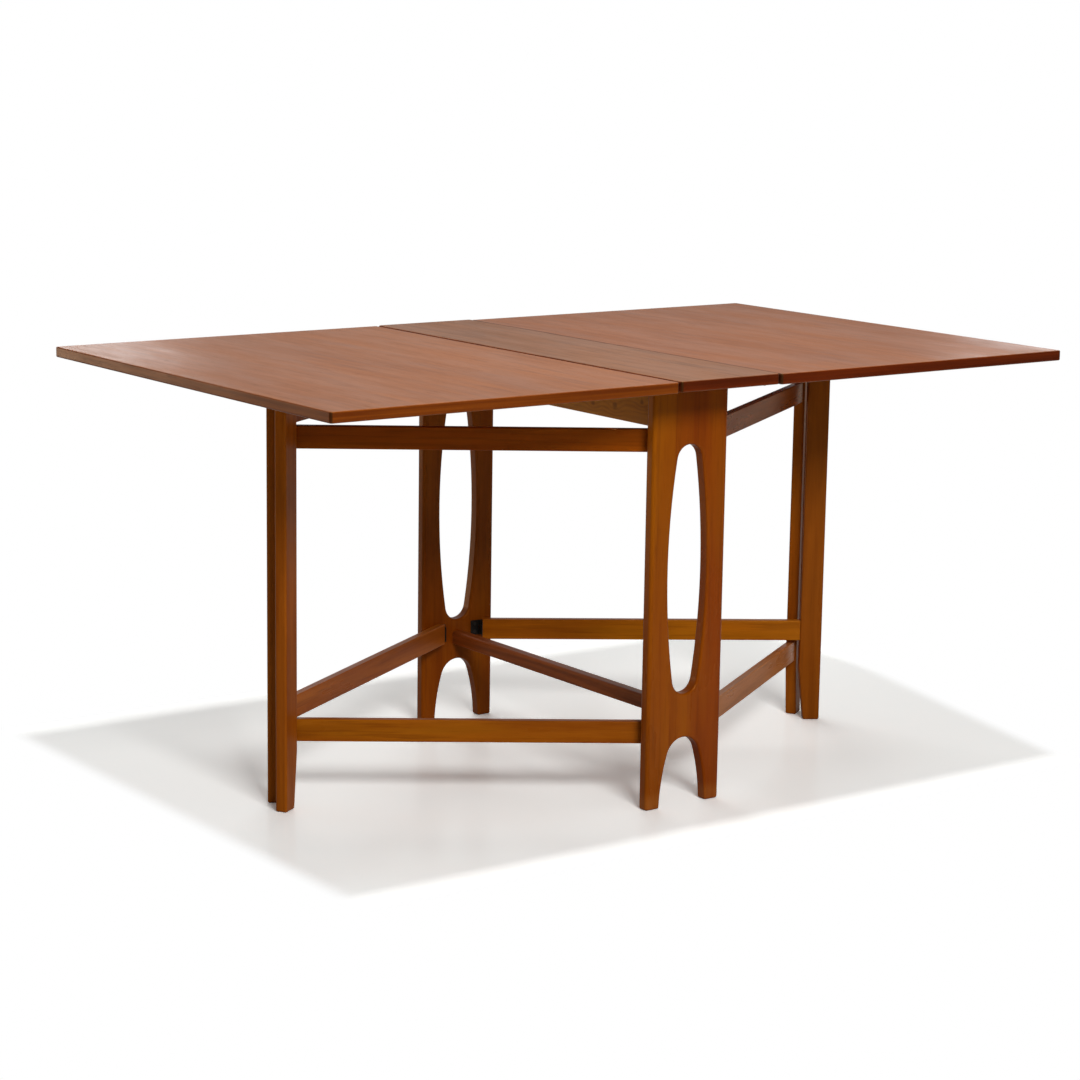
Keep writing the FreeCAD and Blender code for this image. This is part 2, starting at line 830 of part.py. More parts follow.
def gate_hinges(gate):
    """Two butt hinges: one leaf on the end panel, the other on the rail's end."""
    width = "sizes.gate_hinge_width"
    height = "sizes.gate_hinge_height"
    moving = []
    fixed = []
    moving_screws = []
    fixed_screws = []
    pins = []
    for i, foot in enumerate(gate.feet):
        middle = f"{foot} + sizes.rail_height / 2"
        name = f"{gate.name}_hinge_{i}"
        plate = hinge_plate(
            f"{name}_moving",
            gate.side,
            AXIS_TO_WOOD,
            width,
            height,
            outer=False,
            bore="sizes.pin_radius + sizes.pin_clearance",
        )
        moving.append(bind(plate, Placement__Base__z=middle))
        for screw in plate_screws(f"{name}_moving", gate.side, AXIS_TO_WOOD, width, height):
            moving_screws.append(bind(screw, Placement__Base__z=middle))
        # The panel is beyond the pins, so the fixed plate's frame is turned to face it.
        side = gate.x * gate.y
        quarter = 90 * gate.y
        pin = hinge_pin(f"{name}_pin", height)
        still = [hinge_plate(f"{name}_fixed", side, AXIS_TO_WOOD, width, height, True, "sizes.pin_radius")]
        still += plate_screws(f"{name}_fixed", side, AXIS_TO_WOOD, width, height)
        for piece in still + [pin]:
            turned(piece, Z_AXIS, quarter)
            bind(
                piece,
                Placement__Base__x=f"{gate.x} * {PIN_X}",
                Placement__Base__y=f"{gate.y} * {PIN_Y}",
                Placement__Base__z=f"{middle} - {height} / 2" if piece is pin else middle,
            )
        fixed.append(still[0])
        fixed_screws += still[1:]
        pins.append(pin)
    gate.place(group(f"{gate.name}_gate_plates", moving))
    gate.place(group(f"{gate.name}_gate_screws", moving_screws))
    group(f"{gate.name}_panel_plates", fixed)
    group(f"{gate.name}_panel_screws", fixed_screws)
    group(f"{gate.name}_gate_pins", pins)


# ---------------------------------------------------------------- leaf hinges


def leaf_hinge_places():
    edge = "(sizes.table_width / 2 - sizes.leaf_hinge_inset)"
    return [f"-{edge}", "0", edge]


def leaf_hinges(name, side):
    """Three butt hinges under the joint between the centre board and a leaf."""
    width = "sizes.leaf_hinge_width"
    height = "sizes.leaf_hinge_height"
    kinds = {
        # The leaf lies a step lower than the centre board.
        "board": (-side, f"({AXIS_TO_WOOD} + sizes.leaf_step)", True, "sizes.pin_radius"),
        "leaf": (side, AXIS_TO_WOOD, False, "sizes.pin_radius + sizes.pin_clearance"),
    }
    plates = {kind: [] for kind in kinds}
    screws = {kind: [] for kind in kinds}
    pins = []
    for i, y in enumerate(leaf_hinge_places()):
        pieces = []
        for kind, (towards, wood, outer, bore) in kinds.items():
            label = f"{name}_{kind}_{i}"
            plate = hinge_plate(f"{label}_hinge", towards, wood, width, height, outer, bore)
            plates[kind].append(plate)
            row = plate_screws(label, towards, wood, width, height)
            screws[kind] += row
            pieces += [plate] + row
        pin = hinge_pin(f"{name}_pin_{i}", height)
        pins.append(pin)
        # Local X points up to the wood, local Y along X, and the pin along Y.
        for piece in pieces + [pin]:
            turned(piece, FreeCAD.Vector(1, 1, 1), 240)
            bind(
                piece,
                Placement__Base__x=f"{side} * {HINGE_X}",
                Placement__Base__y=f"{y} - {height} / 2" if piece is pin else y,
                Placement__Base__z=LEAF_AXIS_Z,
            )
    for kind in kinds:
        group(f"{name}_{kind}_plates", plates[kind])
        group(f"{name}_{kind}_screws", screws[kind])
    group(f"{name}_pins", pins)


# ---------------------------------------------------------------- assembly

centre_board()
leaf("left_leaf", -1)
leaf("right_leaf", 1)
end_panel("near_end_panel", -1)
end_panel("far_end_panel", 1)
top_rail()
crossbar(
    "stretcher",
    STRETCHER_MIDDLE,
    "sizes.stretcher_height",
    "sizes.stretcher_thickness",
    "sizes.stretcher_round",
)
panel_dowels()
rail_screws()
for across_x in (-1, 1):
    for across_y in (-1, 1):
        gate = Gate(across_x, across_y)
        gate_leg(gate)
        gate_rail(gate, "lower_rail", gate.feet[0])
        gate_rail(gate, "upper_rail", gate.feet[1])
        gate_hinges(gate)
leaf_hinges("left_leaf_hinge", -1)
leaf_hinges("right_leaf_hinge", 1)
doc.recompute()

# ---------------------------------------------------------------- checks and export

for item in doc.Objects:
    if "Invalid" in item.State or "Error" in item.State:
        raise RuntimeError(f"{item.Name} failed: {item.State}")
for node in nodes:
    if node.Shape.isNull() or not node.Shape.isValid():
        raise RuntimeError(f"{node.Label} has no valid shape")
    node.Shape.exportStep(f"parts/{node.Label}.step")
print(f"{len(nodes)} nodes written")
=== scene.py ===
import json
import math

import bpy
from mathutils import Matrix, Vector


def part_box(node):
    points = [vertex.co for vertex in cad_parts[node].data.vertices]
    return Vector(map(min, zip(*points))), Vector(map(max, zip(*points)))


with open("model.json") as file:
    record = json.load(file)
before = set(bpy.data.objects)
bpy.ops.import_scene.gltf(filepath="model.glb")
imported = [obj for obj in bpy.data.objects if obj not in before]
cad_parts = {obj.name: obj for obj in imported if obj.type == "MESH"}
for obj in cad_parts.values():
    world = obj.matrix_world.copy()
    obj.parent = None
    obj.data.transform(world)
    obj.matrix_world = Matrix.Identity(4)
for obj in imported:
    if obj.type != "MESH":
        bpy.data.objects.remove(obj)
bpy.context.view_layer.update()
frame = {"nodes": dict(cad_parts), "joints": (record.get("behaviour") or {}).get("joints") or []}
NODES = frame["nodes"]
JOINTS = {joint["child"]: joint for joint in frame["joints"]}


# ---------------------------------------------------------------- colours


def srgb(red, green, blue):
    """A colour given as 0-255 display values, in the linear values that shaders take."""

    def linear(value):
        value /= 255
        return value / 12.92 if value <= 0.04045 else ((value + 0.055) / 1.055) ** 2.4

    return (linear(red), linear(green), linear(blue), 1.0)


def scaled(colour, factor):
    """The colour made brighter or darker by the factor."""
    return tuple(min(1.0, factor * channel) for channel in colour[:3]) + (1.0,)


WHITE = (1.0, 1.0, 1.0, 1.0)

# Each wood is a pair: its light tone and its dark tone.
LEFT_LEAF = (srgb(150, 89, 49), srgb(128, 73, 39))
# The right leaf's tones are a little darker than the left leaf's: painted shade, for the light
# falling from the left.
RIGHT_LEAF_SHADED = (srgb(148, 86, 46), srgb(126, 70, 36))
CENTRE = (srgb(138, 90, 60), srgb(112, 71, 45))
LIPPING = (srgb(134, 64, 12), srgb(104, 42, 6))
RED_LIPPING = (srgb(104, 34, 4), srgb(78, 20, 2))
NEAR_PANEL = (srgb(138, 58, 3), srgb(115, 42, 2))
FAR_PANEL = (srgb(146, 70, 5), srgb(120, 50, 2))
STRETCHER = (srgb(156, 78, 30), srgb(118, 54, 17))
PINE = (srgb(206, 132, 34), srgb(164, 92, 16))
BEECH = (srgb(206, 168, 122), srgb(180, 138, 94))
LEG = (srgb(166, 86, 12), srgb(130, 59, 5))
# The upper rails' tone: darker, as painted shade under the top.
SHADED_UPPER_RAIL = (srgb(153, 68, 4), srgb(120, 45, 1))
# Each gate's leg, lower rail and upper rail. Their tones paint light and shade: the lower rails
# are lighter, as lit from the floor, and the upper rails darker, as in the shade of the top.
GATES = {
    "near_left": (LEG, (srgb(168, 90, 11), srgb(131, 60, 4)), SHADED_UPPER_RAIL),
    "near_right": (
        LEG,
        # The near right gate's pale greyish lower rail also paints the floor's reflection.
        (srgb(192, 118, 62), srgb(158, 92, 44)),
        (srgb(153, 72, 8), srgb(120, 48, 3)),
    ),
    "far_left": (LEG, (srgb(174, 92, 24), srgb(140, 66, 14)), SHADED_UPPER_RAIL),
    "far_right": (
        (srgb(152, 78, 14), srgb(118, 54, 6)),
        (srgb(184, 100, 13), srgb(146, 70, 6)),
        SHADED_UPPER_RAIL,
    ),
}
# The tone of end grain, also used to paint the shade in the gap at a joint.
END_GRAIN_AND_GAP_SHADE = srgb(52, 24, 10)
GOLDEN = srgb(156, 83, 4)
# The pale tone of worn edges, which also paints a highlight along the arrises, and of the paler
# feet.
WORN_AND_HIGHLIT = srgb(176, 104, 44)

# Each steel is a pair: its bare metal and its rust.
HINGE_STEEL = ((0.05, 0.047, 0.043, 1.0), (0.09, 0.045, 0.02, 1.0))
SCREW_STEEL = ((0.11, 0.10, 0.09, 1.0), (0.10, 0.06, 0.03, 1.0))
RAIL_SCREW_STEEL = ((0.45, 0.44, 0.41, 1.0), (0.22, 0.17, 0.12, 1.0))


# ---------------------------------------------------------------- node graphs

BEVEL_SAMPLES = 4


class Graph:
    """The nodes of a material or world, built from the output of one node to the next."""

    def __init__(self, owner):
        owner.use_nodes = True
        self.owner = owner
        self.tree = owner.node_tree
        self.tree.nodes.clear()

    def node(self, kind, settings=None, **inputs):
        """A node. An input is a number, colour or vector, or the output that feeds it.

        It goes by its socket's name, with _ for each space, or by _ and the socket's number.
        """
        node = self.tree.nodes.new(f"ShaderNode{kind}")
        for name, setting in (settings or {}).items():
            setattr(node, name, setting)
        for name, value in inputs.items():
            socket = node.inputs[int(name[1:]) if name[1:].isdigit() else name.replace("_", " ")]
            if isinstance(value, bpy.types.NodeSocket):
                self.tree.links.new(value, socket)
            else:
                socket.default_value = value
        return node

    def add(self, kind, settings=None, **inputs):
        """The first output of a new node."""
        return self.node(kind, settings, **inputs).outputs[0]

    def axes(self, vector):
        return self.node("SeparateXYZ", Vector=vector).outputs

    def noise(self, vector, scale, detail, roughness):
        return self.add("TexNoise", Vector=vector, Scale=scale, Detail=detail, Roughness=roughness)

    def math(self, operation, first, second=0.0, third=0.0):
        return self.add("Math", {"operation": operation}, _0=first, _1=second, _2=third)

    def plus(self, total, value, share):
        """The total, with a share of the value added."""
        return self.math("ADD", total, self.math("MULTIPLY", value, share))

    def remap(self, value, low, high, to_low=0.0, to_high=1.0):
        """The value, carried smoothly from low..high to to_low..to_high and held there."""
        settings = {"interpolation_type": "SMOOTHSTEP", "clamp": True}
        return self.add("MapRange", settings, _0=value, _1=low, _2=high, _3=to_low, _4=to_high)

    def mix(self, factor, first, second):
        """A colour between the first and the second."""
        node = self.node("Mix", {"data_type": "RGBA"}, _0=factor, _6=first, _7=second)
        return node.outputs[2]

    def measure(self, operation, first, second):
        """The number that a vector operation gives."""
        node = self.node("VectorMath", {"operation": operation}, _0=first, _1=second)
        return node.outputs["Value"]

    def edges(self, radius):
        """1 on flat faces, falling towards sharp or rounded edges."""
        bevel = self.add("Bevel", {"samples": BEVEL_SAMPLES}, Radius=radius)
        return self.measure("DOT_PRODUCT", bevel, self.node("NewGeometry").outputs["Normal"])

    def finish(self, **inputs):
        self.add_output("Material", self.add("BsdfPrincipled", **inputs))
        return self.owner

    def add_output(self, kind, surface):
        self.node(f"Output{kind}", Surface=surface)


# ---------------------------------------------------------------- wood

# Grain directions, as the turn about an axis that lays the grain's own X axis along them.
ALONG_Y = (0.0, 0.0, math.radians(90))
ALONG_Z = (0.0, math.radians(90), 0.0)

# How far a seed moves the figure, in metres.
SEED_STEP = (0.131, 0.217, 0.173)

# Layers of noise: cells per metre along and across the grain, detail and roughness.
LAYERS = {
    "bend": (1.1, 5.0, 2.0, 0.5),
    "streak": (4.5, 90.0, 4.0, 0.62),
    "broad": (2.0, 8.0, 3.0, 0.5),
    "fine": (9.0, 520.0, 2.0, 0.6),
    "golden": (1.82, 14.3, 2.0, 0.5),
    "vein": (6.0, 150.0, 2.0, 0.55),
    "pore": (26.0, 900.0, 1.0, 0.5),
    "rub_and_gleam": (6.0, 30.0, 3.0, 0.6),
    "gloss": (3.5, 14.0, 4.0, 0.6),
}
# The values of a layer's noise at which it starts to show and shows in full.
SPREAD = {
    "streak": (0.3, 0.7),
    "broad": (0.3, 0.72),
    "golden": (0.46, 0.68),
    "vein": (0.54, 0.68),
    "pore": (0.60, 0.74),
    "rub_and_gleam": (0.35, 0.7),
    "gloss": (0.3, 0.7),
}

# Growth rings: how they tilt across the piece, how far noise bends them, and how narrow their
# dark part is.
RING_TILT = 0.7
RING_BEND = 0.11
RING_NARROWING = 1.6
# What each layer adds to the rings' figure, and the sums that give the light and the dark tone.
STREAK_SHARE = 0.42
BROAD_SHARE = 0.40
FINE_SHARE = 0.18
LIGHTEST = 0.05
DARKEST = 1.35
# Shares of the dark tone's light that are left in veins, knots and pores.
VEIN_SHADE = 0.6
KNOT_SHADE = 0.4
PORE_SHADE = 0.35
# The most gold that a slow zone gets, and the width of the joint between glued boards.
GOLDEN_STRENGTH = 0.5
GLUE_LINE = 0.001
# A knot, in its own radii: where its dark heart starts to fade and ends, how far it bends the
# rings, and by how much.
KNOT_HEART = 0.3
KNOT_RIM = 1.3
KNOT_REACH = 5
KNOT_SWELL = 1.6
KNOT_STRENGTH = 0.55
# The lipping's strands: cells per metre along x, y and z, and the noise values of its two tones.
STRANDS = (3.0, 3.0, 160.0)
STRAND_SPREAD = (0.3, 0.7)
# From upright to level faces by the z of the normal, and from flat ones to rounded corners by the
# product of its x and y.
UPRIGHT_TO_LEVEL = (0.55, 0.9)
FLAT_TO_CORNER = (0.12, 0.36)
CORNER_STRENGTH = 0.9
# Painted shade in the gap along a joint: the distances from it at which it starts to fade and
# ends.
GAP_SHADE_FADE = (0.0022, 0.0045)
GAP_SHADE_STRENGTH = 0.85
# Pale edges, partly wear and partly a painted highlight along the arrises: the width looked at,
# the edge-to-flat values between which the paling fades, and the least of it that noise leaves.
EDGE_WIDTH = 0.0035
EDGE_FADE = (0.86, 0.995)
LEAST_RUB_AND_GLEAM = 0.3
# Feet are palest up to this share of the height given.
PALE_FEET_START = 0.3
PALE_FEET_STRENGTH = 0.75
# The lacquer: how far its roughness varies and what pores add, and its warm reflection.
SMOOTHER = 0.04
ROUGHER = 0.06
PORE_ROUGHNESS = 0.25
SPECULAR = 0.3
GLEAM = (1.0, 0.55, 0.16, 1.0)
# The surface's relief: the shares of the layers that raise it and of the pores that sink it, its
# strength, and its height in metres.
RAISED = 0.5
SUNK = 1.2
RELIEF_STRENGTH = 0.16
RELIEF_HEIGHT = 0.0006


class Wood(Graph):
    """The parts of a wood material. Its noise is drawn out along the grain."""

    def __init__(self, name, grain, seed):
        super().__init__(bpy.data.materials.new(name))
        self.place = self.node("TexCoord").outputs["Object"]
        self.turned = self.add(
            "Mapping",
            {"vector_type": "TEXTURE"},
            Vector=self.place,
            Location=tuple(step * seed for step in SEED_STEP),
            Rotation=grain,
        )

    def layer(self, name):
        """The noise of a layer."""
        along, across, detail, roughness = LAYERS[name]
        drawn_out = self.add("Mapping", Vector=self.turned, Scale=(along, across, across))
        return self.noise(drawn_out, 1.0, detail, roughness)

    def spread(self, name, to_low=0.0, to_high=1.0):
        """A layer's noise, spread from where it starts to show to where it shows in full."""
        return self.remap(self.layer(name), *SPREAD[name], to_low, to_high)

    def rings(self, ring_width, knots):
        """Growth rings: planes across the grain, bent by slow noise and round the knots."""
        parts = self.axes(self.turned)
        depth = self.plus(parts[1], parts[2], RING_TILT)
        depth = self.plus(depth, self.layer("bend"), RING_BEND)
        for centre, radius in knots:
            distance = self.measure("DISTANCE", self.place, centre)
            swell = self.remap(distance, 0.0, KNOT_REACH * radius, 1.0, 0.0)
            depth = self.plus(depth, swell, KNOT_SWELL * radius)
        wave = self.math("SINE", self.math("MULTIPLY", depth, 2 * math.pi / ring_width))
        return self.math("POWER", self.remap(wave, -1.0, 1.0), RING_NARROWING)

    def gild(self, colour, golden, staves):
        """Golden zones, and more gold on the boards left of each glue joint."""
        zone = self.spread("golden", 0.0, GOLDEN_STRENGTH)
        for joint, gain in staves:
            left_of = self.remap(self.axes(self.place)[0], joint, joint + GLUE_LINE, gain, 0.0)
            zone = self.math("ADD", zone, left_of)
        return self.mix(zone, colour, golden)

    def darken_knots(self, colour, dark, knots):
        for centre, radius in knots:
            distance = self.measure("DISTANCE", self.place, centre)
            fade = KNOT_HEART * radius, KNOT_RIM * radius
            heart = self.remap(distance, *fade, KNOT_STRENGTH, 0.0)
            colour = self.mix(heart, colour, scaled(dark, KNOT_SHADE))
        return colour

    def lip(self, colour, tones):
        """Solid lipping on the upright faces, with end grain at its corners."""
        facing = self.axes(self.node("TexCoord").outputs["Normal"])
        level = self.remap(self.math("ABSOLUTE", facing[2]), *UPRIGHT_TO_LEVEL)
        corner = self.math("ABSOLUTE", self.math("MULTIPLY", facing[0], facing[1]))
        corner = self.remap(corner, *FLAT_TO_CORNER, 0.0, CORNER_STRENGTH)
        strands = self.add("Mapping", Vector=self.place, Scale=STRANDS)
        strand = self.remap(self.noise(strands, 1.0, detail=3.0, roughness=0.6), *STRAND_SPREAD)
        lipping = self.mix(corner, self.mix(strand, *tones), END_GRAIN_AND_GAP_SHADE)
        return self.mix(level, lipping, colour)

    def paint_gap_shade(self, colour, gap_shade_x):
        """Painted shade in the gap at the joint that lies at the x given."""
        off = self.math("ABSOLUTE", self.math("SUBTRACT", self.axes(self.place)[0], gap_shade_x))
        return self.mix(self.remap(off, *GAP_SHADE_FADE, GAP_SHADE_STRENGTH, 0.0), colour, END_GRAIN_AND_GAP_SHADE)

    def wear_and_highlight(self, colour, pale, worn_and_highlit, pale_feet_height):
        """Edges paled, partly as wear and partly as a painted highlight along the arrises, and
        feet paler up to a height.
        """
        rub_and_gleam = self.spread("rub_and_gleam", LEAST_RUB_AND_GLEAM, 1.0)
        edge = self.remap(self.edges(EDGE_WIDTH), *EDGE_FADE, 1.0, 0.0)
        edge = self.math("MULTIPLY", self.math("MULTIPLY", edge, rub_and_gleam), worn_and_highlit)
        colour = self.mix(edge, colour, pale)
        if pale_feet_height:
            height = self.axes(self.place)[2]
            paling = self.remap(height, PALE_FEET_START * pale_feet_height, pale_feet_height, PALE_FEET_STRENGTH, 0.0)
            colour = self.mix(self.math("MULTIPLY", paling, rub_and_gleam), colour, pale)
        return colour


def wood(
    name,
    grain,
    tones,
    seed,
    ring_width=0.012,
    figure=0.45,
    golden=None,
    staves=(),
    veins=0.0,
    knots=(),
    lipping=None,
    gap_shade_x=None,
    pores=0.35,
    edge_tone=None,
    worn_and_highlit=0.25,
    pale_feet_height=0.0,
    roughness=0.34,
):
    """Oiled wood: growth rings drawn out along the grain, streaks, pores, and edges paled partly
    by wear and partly as a painted highlight.

    figure, veins, pores and worn are the strengths of the rings, of thin dark veins, of the
    pores and of the pale edges, which are partly wear and partly a painted highlight along the
    arrises. golden is a colour that shows through in slow zones, and more so on the boards that a
    wide piece is glued up from: staves gives each glue joint's x and what the boards left of it
    gain. knots gives each knot's centre and radius, lipping the tones of the solid lipping round a
    veneered board, seam the x of a joint with a line of painted shade for its gap, and scuffed the
    height up to which the feet are paler. Lengths are in metres.
    """
    light, dark = tones
    graph = Wood(name, grain, seed)
    streak, fine = graph.layer("streak"), graph.layer("fine")
    tone = graph.math("MULTIPLY", graph.rings(ring_width, knots), figure)
    tone = graph.plus(tone, graph.remap(streak, *SPREAD["streak"]), STREAK_SHARE)
    tone = graph.plus(tone, graph.spread("broad"), BROAD_SHARE)
    tone = graph.plus(tone, fine, FINE_SHARE)
    colour = graph.mix(graph.remap(tone, LIGHTEST, DARKEST), light, dark)
    if golden:
        colour = graph.gild(colour, golden, staves)
    if veins:
        colour = graph.mix(graph.spread("vein", 0.0, veins), colour, scaled(dark, VEIN_SHADE))
    colour = graph.darken_knots(colour, dark, knots)
    if lipping:
        colour = graph.lip(colour, lipping)
    if gap_shade_x is not None:
        colour = graph.paint_gap_shade(colour, gap_shade_x)
    pore = graph.math("MULTIPLY", graph.spread("pore"), pores)
    colour = graph.mix(pore, colour, scaled(dark, PORE_SHADE))
    colour = graph.wear_and_highlight(colour, edge_tone or light, worn_and_highlit, pale_feet_height)

    gloss = graph.spread("gloss", roughness - SMOOTHER, roughness + ROUGHER)
    gloss = graph.plus(gloss, pore, PORE_ROUGHNESS)
    relief = graph.plus(graph.math("MULTIPLY", streak, RAISED), fine, RAISED)
    relief = graph.plus(relief, pore, -SUNK)
    bump = graph.add("Bump", Strength=RELIEF_STRENGTH, Distance=RELIEF_HEIGHT, Height=relief)
    return graph.finish(
        Base_Color=colour,
        Roughness=gloss,
        Normal=bump,
        Specular_IOR_Level=SPECULAR,
        Specular_Tint=GLEAM,
    )


# ---------------------------------------------------------------- metal

BLOTCHES_PER_METRE = 160.0
# The noise values between which rust comes up, those between which the roughness varies, and
# how far it varies.
BARE_TO_RUST = (0.52, 0.75)
GLOSS_RANGE = (0.3, 0.7)
METAL_SMOOTHER = 0.08
METAL_ROUGHER = 0.15
# Worn edges: the width looked at, the edge-to-flat values between which the wear fades, its
# strength, and how much brighter than the bare metal it is.
METAL_EDGE_WIDTH = 0.0006
METAL_EDGE_FADE = (0.80, 0.99)
METAL_WEAR = 0.5
WORN_METAL = 2.2
METAL_RELIEF_STRENGTH = 0.12
METAL_RELIEF_HEIGHT = 0.0002
METALLIC = 0.85


def metal(name, tones, roughness, seed):
    """Aged steel with dull patches, a little rust and brighter edges."""
    bare, rust = tones
    graph = Graph(bpy.data.materials.new(name))
    place = graph.node("TexCoord").outputs["Object"]
    place = graph.add("Mapping", Vector=place, Location=(seed, 2 * seed, 3 * seed))
    blotch = graph.noise(place, BLOTCHES_PER_METRE, detail=5.0, roughness=0.65)
    colour = graph.mix(graph.remap(blotch, *BARE_TO_RUST), bare, rust)
    edge = graph.remap(graph.edges(METAL_EDGE_WIDTH), *METAL_EDGE_FADE, METAL_WEAR, 0.0)
    colour = graph.mix(edge, colour, scaled(bare, WORN_METAL))
    gloss = graph.remap(
        blotch, *GLOSS_RANGE, roughness - METAL_SMOOTHER, roughness + METAL_ROUGHER
    )
    bump = graph.add(
        "Bump", Strength=METAL_RELIEF_STRENGTH, Distance=METAL_RELIEF_HEIGHT, Height=blotch
    )
    return graph.finish(Base_Color=colour, Roughness=gloss, Metallic=METALLIC, Normal=bump)


# ---------------------------------------------------------------- pieces

# The near panel is glued up from three boards: each joint's x, and the gold gained left of it.
NEAR_STAVES = ((-0.034, 0.22), (0.004, 0.18))
# Its feet are paler up to this height.
NEAR_PALE_FEET = 0.035
# Centre and radius of each knot in the top rail, on one of its faces.
KNOTS = (
    ((-0.011, -0.094, 0.657), 0.006),
    ((-0.011, -0.156, 0.659), 0.007),
    ((-0.011, -0.230, 0.674), 0.005),
    ((-0.011, 0.060, 0.670), 0.008),
    ((0.011, 0.190, 0.690), 0.008),
    ((0.011, -0.120, 0.665), 0.006),
)
# How much greener the golden zones of a rail are than its light tone.
RAIL_GOLD = 1.3


def dress(name, material):
    mesh = NODES[name].data
    mesh.materials.clear()
    mesh.materials.append(material)


def dress_top():
    # The right leaf gets a line of painted shade along its inner edge, for the gap at its joint
    # with the centre board.
    for seed, name, tones, lipping, gap_shade_x, ring_width, veins, roughness in (
        (1, "left_leaf", LEFT_LEAF, LIPPING, None, 0.034, 0.4, 0.36),
        (2, "right_leaf", RIGHT_LEAF_SHADED, RED_LIPPING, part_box("right_leaf")[0][0], 0.034, 0.4, 0.36),
        (3, "centre_board", CENTRE, RED_LIPPING, None, 0.026, 0.6, 0.40),
    ):
        teak = wood(
            f"teak_{name}",
            ALONG_Y,
            tones,
            seed,
            ring_width=ring_width,
            figure=0.2,
            veins=veins,
            lipping=lipping,
            gap_shade_x=gap_shade_x,
            edge_tone=WORN_AND_HIGHLIT,
            roughness=roughness,
        )
        dress(name, teak)


def dress_frame():
    for seed, name, tones, staves, pale_feet_height in (
        (4, "near_end_panel", NEAR_PANEL, NEAR_STAVES, NEAR_PALE_FEET),
        (5, "far_end_panel", FAR_PANEL, (), 0.0),
    ):
        teak = wood(
            f"teak_{name}",
            ALONG_Z,
            tones,
            seed,
            ring_width=0.030,
            figure=0.22,
            golden=GOLDEN,
            staves=staves,
            veins=0.25,
            edge_tone=WORN_AND_HIGHLIT,
            pale_feet_height=pale_feet_height,
            roughness=0.30,
        )
        dress(name, teak)
    stained = wood(
        "stained_stretcher", ALONG_Y, STRETCHER, seed=6, edge_tone=LEG[0], roughness=0.36
    )
    dress("stretcher", stained)
    pine = wood(
        "pine_top_rail",
        ALONG_Y,
        PINE,
        seed=7,
        ring_width=0.009,
        figure=0.25,
        knots=KNOTS,
        pores=0.1,
        worn_and_highlit=0.1,
        roughness=0.5,
    )
    dress("top_rail", pine)
    dress("panel_dowels", wood("beech_dowels", ALONG_Z, BEECH, seed=8, roughness=0.55))


def grain_of_gate(name):
    """The turn that lays the grain along a gate's rails: from its pins to its leg."""
    low, high = (Vector(corner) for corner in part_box(f"{name}_leg"))
    pin = Vector(JOINTS[f"{name}_gate"]["pos_m"])
    way = (low + high) / 2 - pin
    return (0.0, 0.0, math.atan2(way.y, way.x))


def dress_gates():
    for seed, (name, (leg, lower_rail, upper_rail)) in enumerate(GATES.items(), start=10):
        along_rails = grain_of_gate(name)
        for first_seed, piece, tones, grain, veins in (
            (0, "leg", leg, ALONG_Z, 0.15),
            (10, "lower_rail", lower_rail, along_rails, 0.35),
            (20, "upper_rail", upper_rail, along_rails, 0.35),
        ):
            red, green, blue, opaque = tones[0]
            rail_gold = (red, RAIL_GOLD * green, blue, opaque)
            teak = wood(
                f"teak_{name}_{piece}",
                grain,
                tones,
                first_seed + seed,
                ring_width=0.024,
                figure=0.22,
                golden=None if piece == "leg" else rail_gold,
                veins=veins,
                pores=0.2,
                edge_tone=WORN_AND_HIGHLIT,
                roughness=0.30,
            )
            dress(f"{name}_{piece}", teak)


def dress_metal():
    hinge = metal("dark_hinge_steel", HINGE_STEEL, roughness=0.42, seed=1)
    screw = metal("dark_screw_steel", SCREW_STEEL, roughness=0.35, seed=2)
    rail_screw = metal("rail_screw_steel", RAIL_SCREW_STEEL, roughness=0.38, seed=3)
    for name in NODES:
        if name == "rail_screws":
            dress(name, rail_screw)
        elif name.endswith("screws"):
            dress(name, screw)
        elif name.endswith(("plates", "pins")):
            dress(name, hinge)


# ---------------------------------------------------------------- studio

FLOOR_HALF = 14.0
FLOOR_DIFFUSE = (0.55, 0.545, 0.535, 1.0)
# Where it is seen directly, the floor also has a paper tone, a faint sheen and a glow of painted
# warm light, as bounced off the wood into the shade under the table.
FLOOR_PAPER = (0.825, 0.85, 0.835, 1.0)
FLOOR_PAINTED_BOUNCE = 0.08
WARM_BOUNCE_COLOUR = (1.0, 0.985, 0.955, 1.0)
FLOOR_SHEEN = 0.10
SHEEN_ROUGHNESS = 0.16
# The floor shows its shade inside this patch, in metres, and is white beyond it.
PATCH_LEFT = -0.71
PATCH_RIGHT = 0.86
PATCH_NEAR = -0.48
PATCH_FAR = 0.67
# What the patch's right end gains in x for each metre in y.
PATCH_SLANT = 0.244
PATCH_FADE = 0.05

# The backdrop lies this way. The studio's light falls from its level to the front's.
BACKDROP_WAY = (0.30, 0.95, 0.10)
BACKDROP_LEVEL = 0.45
FRONT_LEVEL = 0.12
# How much a direction points the backdrop's way where the front's level ends.
FRONT_END = 0.2


